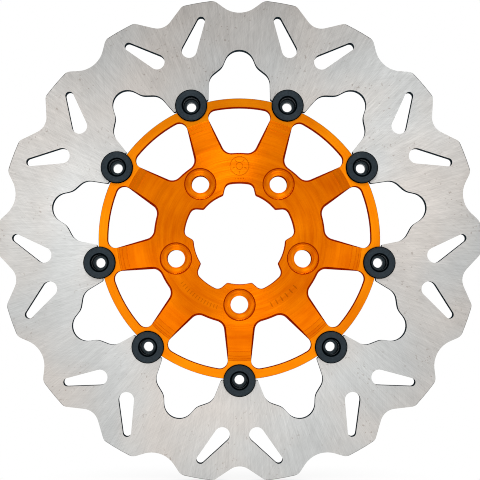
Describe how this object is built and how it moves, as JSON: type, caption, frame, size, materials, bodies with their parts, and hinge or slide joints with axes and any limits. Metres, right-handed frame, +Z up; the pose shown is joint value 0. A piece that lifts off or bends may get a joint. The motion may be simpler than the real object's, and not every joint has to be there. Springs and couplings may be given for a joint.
{
  "type": "brake disc rotor",
  "caption": "Floating motorcycle brake disc: scalloped, slotted steel ring held by flanged bobbins on an orange spoked carrier with a bolt circle.",
  "frame": {"origin": "rotor axis at the face that seats on the wheel hub", "axes": "+Y along the rotor axis from the outboard side into the hub, +Z up, +X right seen from outboard"},
  "size_m": [0.3, 0.0113, 0.2979],
  "materials": {
    "ring_steel": "ground",
    "carrier_orange": "turned and anodised orange",
    "bobbin_black": "anodised black",
    "washer_steel": "satin",
    "spring_steel": "satin",
    "clip_steel": "phosphated"
  },
  "bodies": {
    "carrier_body": {"carrier": "carrier_orange"},
    "ring_body": {"brake_ring": "ring_steel"},
    "bobbin_body_1": {"bobbin_1": "bobbin_black", "flat_washer_1": "washer_steel", "wave_washer_1": "spring_steel", "circlip_1": "clip_steel"},
    "bobbin_body_2": {"bobbin_2": "bobbin_black", "flat_washer_2": "washer_steel", "wave_washer_2": "spring_steel", "circlip_2": "clip_steel"},
    "bobbin_body_3": {"bobbin_3": "bobbin_black", "flat_washer_3": "washer_steel", "wave_washer_3": "spring_steel", "circlip_3": "clip_steel"},
    "bobbin_body_4": {"bobbin_4": "bobbin_black", "flat_washer_4": "washer_steel", "wave_washer_4": "spring_steel", "circlip_4": "clip_steel"},
    "bobbin_body_5": {"bobbin_5": "bobbin_black", "flat_washer_5": "washer_steel", "wave_washer_5": "spring_steel", "circlip_5": "clip_steel"},
    "bobbin_body_6": {"bobbin_6": "bobbin_black", "flat_washer_6": "washer_steel", "wave_washer_6": "spring_steel", "circlip_6": "clip_steel"},
    "bobbin_body_7": {"bobbin_7": "bobbin_black", "flat_washer_7": "washer_steel", "wave_washer_7": "spring_steel", "circlip_7": "clip_steel"},
    "bobbin_body_8": {"bobbin_8": "bobbin_black", "flat_washer_8": "washer_steel", "wave_washer_8": "spring_steel", "circlip_8": "clip_steel"},
    "bobbin_body_9": {"bobbin_9": "bobbin_black", "flat_washer_9": "washer_steel", "wave_washer_9": "spring_steel", "circlip_9": "clip_steel"}
  },
  "joints": [
    {"name": "ring_float", "type": "slide", "parent": "carrier_body", "child": "ring_body", "axis": [0, 1, 0], "range_m": [-0.00015, 0.00015]},
    {"name": "bobbin_turn_1", "type": "hinge", "parent": "carrier_body", "child": "bobbin_body_1", "pos_m": [0, 0, -0.088], "axis": [0, 1, 0], "continuous": true},
    {"name": "bobbin_turn_2", "type": "hinge", "parent": "carrier_body", "child": "bobbin_body_2", "pos_m": [0.05657, 0, -0.06741], "axis": [0, 1, 0], "continuous": true},
    {"name": "bobbin_turn_3", "type": "hinge", "parent": "carrier_body", "child": "bobbin_body_3", "pos_m": [0.08666, 0, -0.01528], "axis": [0, 1, 0], "continuous": true},
    {"name": "bobbin_turn_4", "type": "hinge", "parent": "carrier_body", "child": "bobbin_body_4", "pos_m": [0.07621, 0, 0.044], "axis": [0, 1, 0], "continuous": true},
    {"name": "bobbin_turn_5", "type": "hinge", "parent": "carrier_body", "child": "bobbin_body_5", "pos_m": [0.0301, 0, 0.08269], "axis": [0, 1, 0], "continuous": true},
    {"name": "bobbin_turn_6", "type": "hinge", "parent": "carrier_body", "child": "bobbin_body_6", "pos_m": [-0.0301, 0, 0.08269], "axis": [0, 1, 0], "continuous": true},
    {"name": "bobbin_turn_7", "type": "hinge", "parent": "carrier_body", "child": "bobbin_body_7", "pos_m": [-0.07621, 0, 0.044], "axis": [0, 1, 0], "continuous": true},
    {"name": "bobbin_turn_8", "type": "hinge", "parent": "carrier_body", "child": "bobbin_body_8", "pos_m": [-0.08666, 0, -0.01528], "axis": [0, 1, 0], "continuous": true},
    {"name": "bobbin_turn_9", "type": "hinge", "parent": "carrier_body", "child": "bobbin_body_9", "pos_m": [-0.05657, 0, -0.06741], "axis": [0, 1, 0], "continuous": true}
  ]
}
